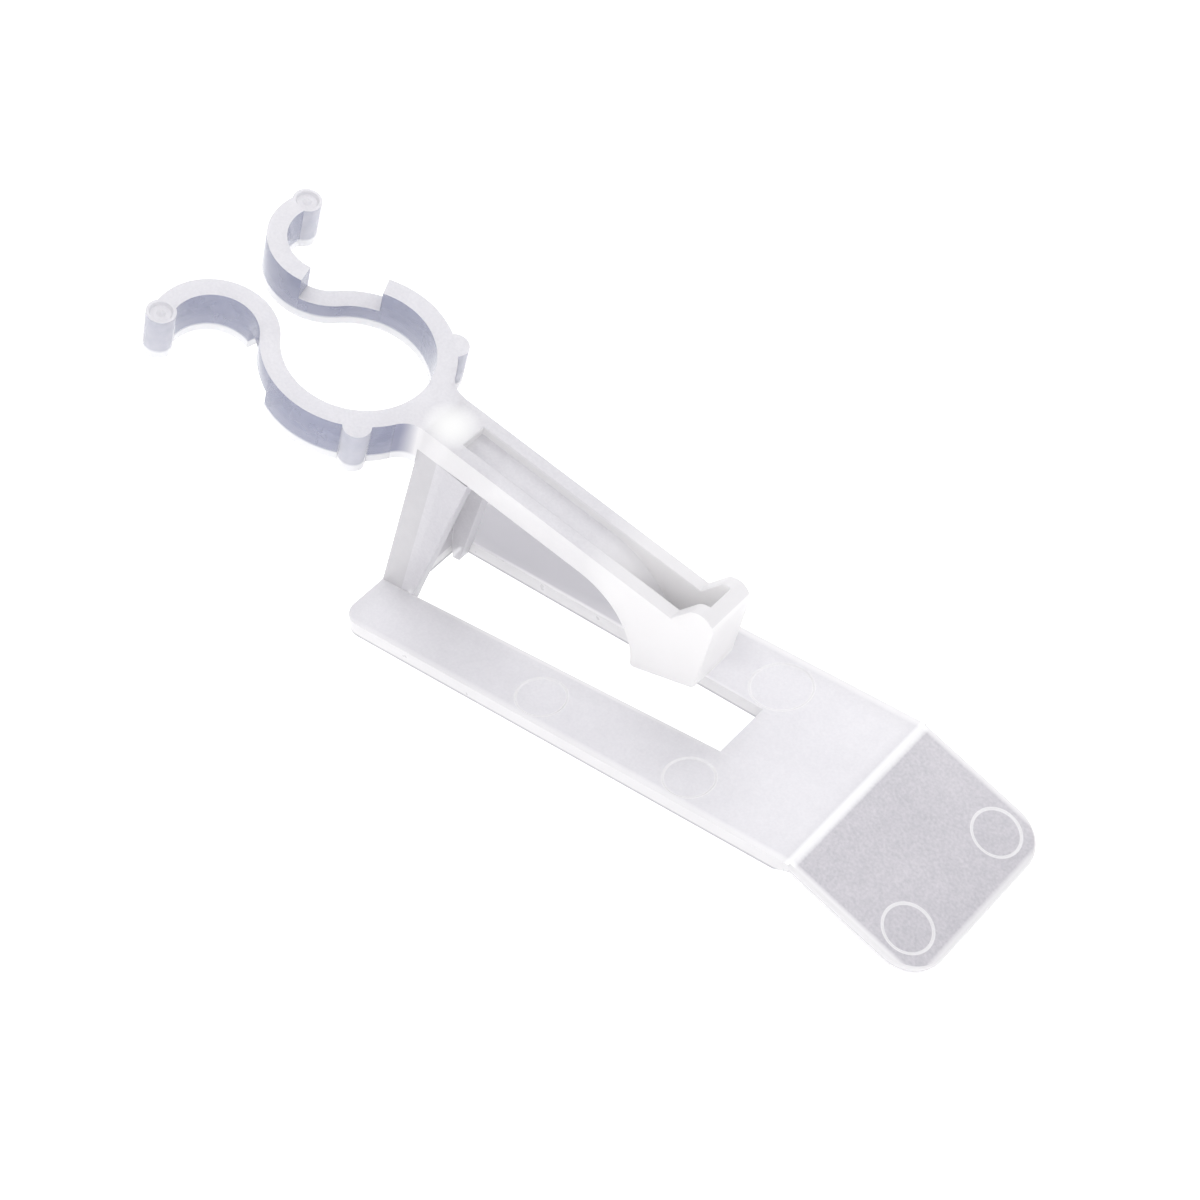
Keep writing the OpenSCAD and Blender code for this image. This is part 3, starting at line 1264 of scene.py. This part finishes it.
@dataclass
class Leg:
    """The leaning leg: a wall with two ribs, open towards the tab."""

    foot_half: float = 4.4
    top_half: float = 2.8
    wall: float = 2.3
    rib: float = 1.4
    rib_foot: float = 3.1
    taper_top: float = 18.23

    def build(self, moulding: Moulding, ring: RingAndJaws, tongue: Tongue) -> None:
        """Make the leg's wall and its two ribs.

        Args:
            moulding: What the sections share.
            ring: The ring, for the places that both share.
            tongue: The tongue, for the end of the neck.
        """
        layout = moulding.layout
        plate = layout.plate_thick

        def side_point(x: float, z: float) -> Point:
            """Return a point of the ring plane in the base's side view."""
            spot = layout.base.inverted() @ layout.ring @ Vector((x, 0, z))
            return spot.x, spot.z

        heel = side_point(ring.seat, -ring.height)
        seat = side_point(ring.seat, -ring.under)
        wall_top = side_point(ring.seat + self.wall, -ring.under)
        rib_top = side_point(tongue.neck_end, -ring.under)
        slope = (rib_top[0] - self.rib_foot) / rib_top[1]
        sketch = Sketch()
        sketch.move(self.wall, plate).line((0, plate), heel, seat, wall_top)
        floor = list(sketch.chain)
        sketch.move(*wall_top).line((self.wall, plate))
        contour = list(sketch.chain)
        sketch.move(self.wall, plate)
        sketch.line((self.wall, 0), (self.rib_foot, 0))
        sketch.line((self.rib_foot + slope * plate, plate))
        sketch.line(rib_top, wall_top)
        pocket = list(sketch.chain)
        bm = cheeked(sketch, floor, pocket, contour, self.foot_half, self.rib)
        span = self.taper_top - plate
        for vert in bm.verts:
            share = min(1.0, max(0.0, (vert.co.y - plate) / span))
            if abs(vert.co.z) > TINY:
                vert.co.z -= math.copysign(share * (self.foot_half - self.top_half), vert.co.z)
        tilt = math.radians(layout.tilt)
        lean = Vector((math.sin(tilt), math.cos(tilt), 0))
        top = Vector((*seat, 0))
        back = Vector((lean.y, -lean.x, 0))

        def fixed(co: Vector) -> bool:
            """Return whether a point lies where the leg meets the neck or the plate."""
            rise = (co - top).dot(lean)
            behind = abs((co - top).dot(back)) < TINY and rise > ring.under - ring.height - TINY
            return rise > -TINY or behind or co.y < plate + TINY

        soften(bm, moulding.edge, fixed)
        for face in bm.faces:
            face.smooth = True
            middle = face.calc_center_median()
            hidden = all(fixed(co) for co in (middle, *(v.co for v in face.verts)))
            face.material_index = Zone.SATIN.value
            if hidden and middle.y > plate / 2:
                face.material_index = Zone.SEAM.value
        front = Vector((wall_top[0] - self.wall, wall_top[1] - plate, 0)).normalized()
        normal = Vector((front.y, -front.x, 0))
        wall, ribs = split(bm, Vector((self.wall, plate, 0)), normal)
        place = layout.base @ layout.side
        piece = moulding.issue("leg_wall", wall, place, ["leg_wall"], "stem", "stem")
        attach(piece, "clip")
        right, left = split(ribs, Vector(), LEVEL)
        for name, part in (("leg_rib_left", left), ("leg_rib_right", right)):
            piece = moulding.issue(name, part, place, [name], "satin", "satin")
            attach(piece, "clip")


@dataclass
class ClipPlate:
    """The flat clip plate with its window, and the bent lead-in tab."""

    layout: Layout
    width: float = 21.0
    corner: float = 2.0
    window_start: float = 1.9
    window_end: float = 38.7
    window_back: float = 4.4
    window_front: float = 3.2
    tab_corner: float = 3.8
    tab_root: float = -2.0
    run_out: float = 1.7
    flatness: float = 0.97
    plate_edge: float = 2.2
    tab_edge: float = 1.6
    marks: tuple[Spot, ...] = ((21.65, -7.5, 2.55), (38.4, -7.4, 2.55), (38.4, 6.5, 3.1))
    tab_marks: tuple[Spot, ...] = ((11.2, 6.9, 2.55), (11.2, -6.9, 2.55))
    mark_steps: tuple[Point, ...] = ((0.08, 0.03), (0.16, -0.1), (0.08, 0.02))

    @property
    def fold(self) -> float:
        """Return the angle of the fold in radians."""
        return math.radians(self.layout.tab_angle)

    @staticmethod
    def flat_faces(sketch: Sketch, spots: Sequence[Spot]) -> None:
        """Fill the outline on a sheet, with a disc of its own for each pin mark.

        Args:
            sketch: The sheet.
            spots: The x, y and radius of each mark.
        """
        sketch.weld()
        outline = sketch.bm.edges[:]
        rings = [sketch.ring((x, y), radius) for x, y, radius in spots]
        sketch.fill([*outline, *(e for ring in rings for e in ring)])
        for ring in rings:
            bmesh.ops.contextual_create(sketch.bm, geom=ring)

    def press_marks(self, bm: Mesh, spots: Sequence[Spot], level: float) -> None:
        """Sink the round pin marks a little into a flat face.

        Args:
            bm: The solid, in millimetres.
            spots: The x, y and radius of each mark.
            level: The face's height.
        """
        for x, y, radius in spots:
            discs = discs_at(bm, Vector((x, y, level)), radius / 4)
            for thickness, depth in self.mark_steps:
                made = bmesh.ops.inset_individual(
                    bm, faces=discs, thickness=thickness, depth=depth
                )
                # The inset rings get the mark finish, which is painted lighter as a highlight.
                for face in made["faces"]:
                    face.material_index = Zone.MARK.value

    def plate(self, edge: float) -> Mesh:
        """Make the plate.

        Args:
            edge: How far sharp edges are rounded.

        Returns:
            The solid, with its underside at zero.
        """
        length, thick = self.layout.plate_length, self.layout.plate_thick
        start, back = self.window_start, self.window_back
        end, front = self.window_end, self.window_front
        w, c = self.width / 2, self.corner
        sketch = Sketch()
        sketch.move(0, back).line((0, w - c)).arc((c, w - c), -90.0, CORNER_STEP)
        sketch.line((length, w), (length, -w), (c, -w)).arc((c, c - w), -90.0, CORNER_STEP)
        sketch.line((0, -back), (start, -back), (end, -front), (end, front))
        sketch.line((start, back), (0, back))
        self.flat_faces(sketch, self.marks)
        for x in (0, start):
            sketch.move(x, -back).line((x, back))
        bm = sketch.bm
        near = [v for v in bm.verts if v.co.x < start + TINY]
        corners = [v for v in near if abs(abs(v.co.y) - back) < TINY]
        bmesh.ops.contextual_create(bm, geom=corners)
        bmesh.ops.recalc_face_normals(bm, faces=bm.faces[:])
        raise_faces(bm, bm.faces[:], thick)
        tidy(bm)
        slices(bm, [AHEAD * (length - self.run_out)], AHEAD)
        for vert in bm.verts:
            if vert.co.x > length - TINY and vert.co.z < TINY:
                vert.co.z = thick - self.layout.tab_thick / math.cos(self.fold)

        def fixed(co: Vector) -> bool:
            """Return whether a point lies at the fold or under the leg."""
            under_leg = co.x < start + TINY and abs(co.y) < back + TINY
            return co.x > length - TINY or (under_leg and co.z > thick - TINY)

        soften(bm, edge, fixed)
        mark_zones(bm, LEVEL, self.flatness)
        for face in bm.faces:
            if all(fixed(co) for co in (face.calc_center_median(), *(v.co for v in face.verts))):
                face.material_index = Zone.SEAM.value
        self.press_marks(bm, self.marks, thick)
        return bm

    def tab(self, edge: float) -> Mesh:
        """Make the lead-in tab, lying flat, with its top at zero.

        Args:
            edge: How far sharp edges are rounded.

        Returns:
            The solid, cut to meet the plate at the fold.
        """
        w, c = self.width / 2, self.tab_corner
        length, thick = self.layout.tab_length, self.layout.tab_thick
        sketch = Sketch()
        sketch.move(self.tab_root, w).line((length - c, w))
        sketch.arc((length - c, w - c), -90.0, TAB_STEP).line((length, c - w))
        sketch.arc((length - c, c - w), -90.0, TAB_STEP)
        sketch.line((self.tab_root, -w), (self.tab_root, w))
        self.flat_faces(sketch, self.tab_marks)
        bm = sketch.bm
        bmesh.ops.recalc_face_normals(bm, faces=bm.faces[:])
        bmesh.ops.translate(bm, verts=bm.verts[:], vec=(0, 0, -thick))
        raise_faces(bm, bm.faces[:], thick)
        tidy(bm)
        soften(bm, edge, lambda co: co.x < TINY + self.tab_root)
        mark_zones(bm, LEVEL, self.flatness)
        self.press_marks(bm, self.tab_marks, 0.0)
        return cut(bm, Vector(), Vector((math.cos(self.fold), 0, math.sin(self.fold))), True)

    def build(self, moulding: Moulding) -> None:
        """Make the plate and the tab.

        Args:
            moulding: What the sections share.
        """
        base = self.layout.base
        name = "base_plate"
        plate = self.plate(self.plate_edge * moulding.edge)
        piece = moulding.issue(name, plate, base, [name], "sheet", "sheet_rim")
        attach(piece, "clip")
        crease = Vector((self.layout.plate_length, 0, self.layout.plate_thick))
        bent = base @ Matrix.Translation(crease) @ Matrix.Rotation(self.fold, 4, "Y")
        name = "lead_in_tab"
        tab = self.tab(self.tab_edge * moulding.edge)
        piece = moulding.issue(name, tab, bent, [name], "blade", "blade_rim")
        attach(piece, "clip")


# ----------------------------------------------------------------------- set


@dataclass(frozen=True)
class Lamp:
    """One soft square light, with its place and size in metres and its power in watts."""

    name: str
    spot: Spot
    size: float
    power: float


@dataclass
class Studio:
    """The floor, the lights and the camera, whose place is in millimetres."""

    azimuth: float = 39.68
    elevation: float = 44.58
    roll: float = -2.22
    distance: float = 327.6
    shift: Point = (1.94, 5.95)
    aim: Vector = field(default_factory=lambda: Vector((-19.0, 0.0, 1.6)))
    lens: float = 107.44
    sensor: float = 36.0
    clip: Point = (0.01, 5.0)
    lamp_aim: Spot = (-0.01, 0, 0.01)
    lamps: tuple[Lamp, ...] = (
        Lamp("key", (-0.35, 0.45, 0.65), 0.5, 1.3),
        Lamp("fill", (0.5, -0.5, 0.6), 0.7, 1.2),
    )
    sky: float = 1.2
    floor_size: float = 1.5
    floor_grey: float = 0.95
    floor_glow: float = 0.3

    def camera(self) -> None:
        """Set up the camera."""
        a, e, roll = (math.radians(v) for v in (self.azimuth, self.elevation, self.roll))
        right = Vector((math.cos(a), math.sin(a), 0))
        up = Vector((-math.sin(a) * math.sin(e), math.cos(a) * math.sin(e), math.cos(e)))
        ahead = Vector((-math.sin(a) * math.cos(e), math.cos(a) * math.cos(e), -math.sin(e)))
        right, up = (
            right * math.cos(roll) + up * math.sin(roll),
            up * math.cos(roll) - right * math.sin(roll),
        )
        data = bpy.data.cameras.new("camera")
        data.lens, data.sensor_width, data.sensor_fit = self.lens, self.sensor, "AUTO"
        data.clip_start, data.clip_end = self.clip
        camera = show("camera", data)
        spot = self.aim - self.shift[0] * right + self.shift[1] * up - self.distance * ahead
        turn = Matrix((right, up, -ahead)).transposed().to_4x4()
        camera.matrix_world = Matrix.Translation(spot * MM) @ turn
        bpy.context.scene.camera = camera

    def floor(self, level: float) -> None:
        """Lay the floor at a level in metres.

        Args:
            level: The height, in metres.
        """
        bm = bmesh.new()
        bmesh.ops.create_grid(bm, x_segments=1, y_segments=1, size=self.floor_size)
        mesh = bpy.data.meshes.new("floor")
        bm.to_mesh(mesh)
        bm.free()
        mesh.transform(Matrix.Translation((0, 0, level)))
        graph = Graph("floor")
        shader = graph.node(
            "BsdfPrincipled",
            {},
            Base_Color=(self.floor_grey, self.floor_grey, self.floor_grey, 1.0),
            Roughness=0.8,
            Emission_Color=(1.0, 1.0, 1.0, 1.0),
            Emission_Strength=self.floor_glow,
        )
        graph.node("OutputMaterial", {}, Surface=graph.out(shader))
        mesh.materials.append(graph.material)
        floor = show("floor", mesh)
        floor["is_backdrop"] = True

    def light(self, lamp: Lamp) -> None:
        """Hang a light that points at the holder.

        Args:
            lamp: What the light is like.
        """
        data = bpy.data.lights.new(lamp.name, "AREA")
        data.shape, data.size, data.energy = "SQUARE", lamp.size, lamp.power
        hung = show(lamp.name, data)
        aim = Vector(self.lamp_aim) - Vector(lamp.spot)
        turn = aim.to_track_quat("-Z", "Y").to_matrix().to_4x4()
        hung.matrix_world = Matrix.Translation(lamp.spot) @ turn

    def build(self, level: float) -> None:
        """Set the stage.

        Args:
            level: The height of the floor, in metres.
        """
        self.floor(level)
        for lamp in self.lamps:
            self.light(lamp)
        world = bpy.data.worlds.new("studio")
        bpy.context.scene.world = world
        world.use_nodes = True
        back = world.node_tree.nodes["Background"]
        back.inputs["Color"].default_value = (1.0, 1.0, 1.0, 1.0)
        back.inputs["Strength"].default_value = self.sky
        bpy.context.scene.view_settings.view_transform = "Standard"
        self.camera()


def finishes(layout: Layout) -> dict[str, bpy.types.Material]:
    """Make every finish of the moulding, with the regions where its colour changes.

    Args:
        layout: Where the sections lie.

    Returns:
        The materials by the names that the sections use.
    """
    along, across, up = (layout.ring.to_3x3() @ axis for axis in (AHEAD, ASIDE, LEVEL))
    turn = Matrix.Rotation(math.radians(layout.tab_angle), 3, "Y")
    tab_along, tab_up = turn @ AHEAD, turn @ LEVEL
    tab_end = layout.fold + tab_along * layout.tab_length * MM
    tab_under = layout.fold - tab_up * layout.tab_thick * MM
    long, endless = 60.0, 1000.0
    # The first and last colours here are painted light along edges and painted shade along
    # undersides.
    painted_edge_light, dull, painted_underside_shade = (0.76, 0.75, 0.77), (0.70, 0.69, 0.71), (0.36, 0.36, 0.39)
    clear, white = (0.20, 0.21, 0.32), (0.735, 0.735, 0.735)

    def in_ring(x: float, y: float, *rest: object) -> Bloom:
        """Return a region of the ring plane round a point of it."""
        return Bloom(layout.on_ring(x, y, 0), along, across, *rest)

    gate = in_ring(11.6, -0.6, white, 2.8, 2.8, 1.0)
    # root: painted shade on the neck's walls next to the ring, in the dark bluish colour clear, for
    # the dark surroundings seen through the clear plastic.
    root = in_ring(5.1, 0, clear, 4.6, long, 2.0, 0.76)
    head = in_ring(38, 0, dull, 10.0, long, 1.5, 0.86)
    nose = in_ring(39, 0, (0.81, 0.80, 0.81), 10.0, long, 1.5, 0.86)
    # A painted highlight along the bottom of the ring, jaw and neck walls, standing in for light
    # refracted to their lower edge.
    foot_painted_highlight = Bloom(
        layout.on_ring(0, 0, -5.3), up, across, (0.80, 0.80, 0.82), 1.4, long, 2.5, 0.9
    )
    # crease: a paler band along the fold, stress whitening of the bend with a painted highlight
    # along its edge.
    crease = Bloom(layout.fold, AHEAD, ASIDE, (0.82, 0.82, 0.83), 0.6, long, 0.9, 0.95)
    # A painted shadow: the plate darker under the tongue, along its far side.
    painted_tongue_shadow = Bloom(
        Vector((-32, 7.5, 0)) * MM, AHEAD, ASIDE, (0.46, 0.45, 0.49), 24.0, 5.0, 1.3, 0.8
    )
    # under and below: painted shade, a dark line along the underside edges of the plate and the
    # tab.
    under = Bloom(Vector(), LEVEL, ASIDE, painted_underside_shade, 0.35, endless, 1.0, 0.9)
    below = Bloom(tab_under, tab_up, ASIDE, painted_underside_shade, 0.25, endless, 1.0, 0.9)
    tip = Bloom(tab_end, tab_along, ASIDE, dull, 0.8, long, 1.3, 0.86)
    # edges: painted highlight along both long edges of the plate and the tab, for light glowing
    # through the plastic's edges.
    edges = [
        Bloom(ASIDE * side * 10.5 * MM, AHEAD, ASIDE, painted_edge_light, long, 0.8, 1.3, 0.86)
        for side in (-1, 1)
    ]
    # The slot blooms are a painted highlight along both edges of the plate's window.
    window = Vector((36.8, -1.2, 0)).normalized()
    painted_window_edge_light = [
        Bloom(
            Vector((-23.7, side * 3.8, 0)) * MM,
            Vector((window.x, side * window.y, 0)),
            Vector((-side * window.y, window.x, 0)),
            painted_edge_light,
            20.5,
            0.45,
            1.2,
            0.86,
        )
        for side in (1, -1)
    ]
    return {
        "satin": SATIN.build(),
        "satin_gate": SATIN.build("_gate", gate),
        "satin_head": SATIN.build("_head", head),
        "stem": STEM.build(),
        "mark": MARK.build(),
        "polished": POLISHED.build("", foot_painted_highlight),
        "skin_root": SKIN.build("_root", root, foot_painted_highlight),
        "post": POST.build("", foot_painted_highlight),
        "blade": BLADE.build("", *edges, tip, crease),
        "blade_rim": RIM.build("_tab", below),
        "sheet": SHEET.build("", painted_tongue_shadow, *edges, *painted_window_edge_light, crease),
        "sheet_rim": RIM.build("", under),
        "skin_head": SKIN.build("_head", nose),
        "seam": seam_material(),
    }


def main() -> None:
    """Build the holder and its set."""
    logging.basicConfig(level=logging.INFO, format="%(message)s")
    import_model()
    low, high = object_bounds()
    layout = Layout()
    moulding = Moulding(layout, finishes(layout))
    ring = RingAndJaws()
    tongue = Tongue()
    block = ring.build(moulding)
    tongue.build(moulding, block, ring)
    Leg().build(moulding, ring, tongue)
    ClipPlate(layout).build(moulding)
    Studio().build(low.z)
    LOG.info("%d pieces", len(moulding.made))


if __name__ == "__main__":
    main()
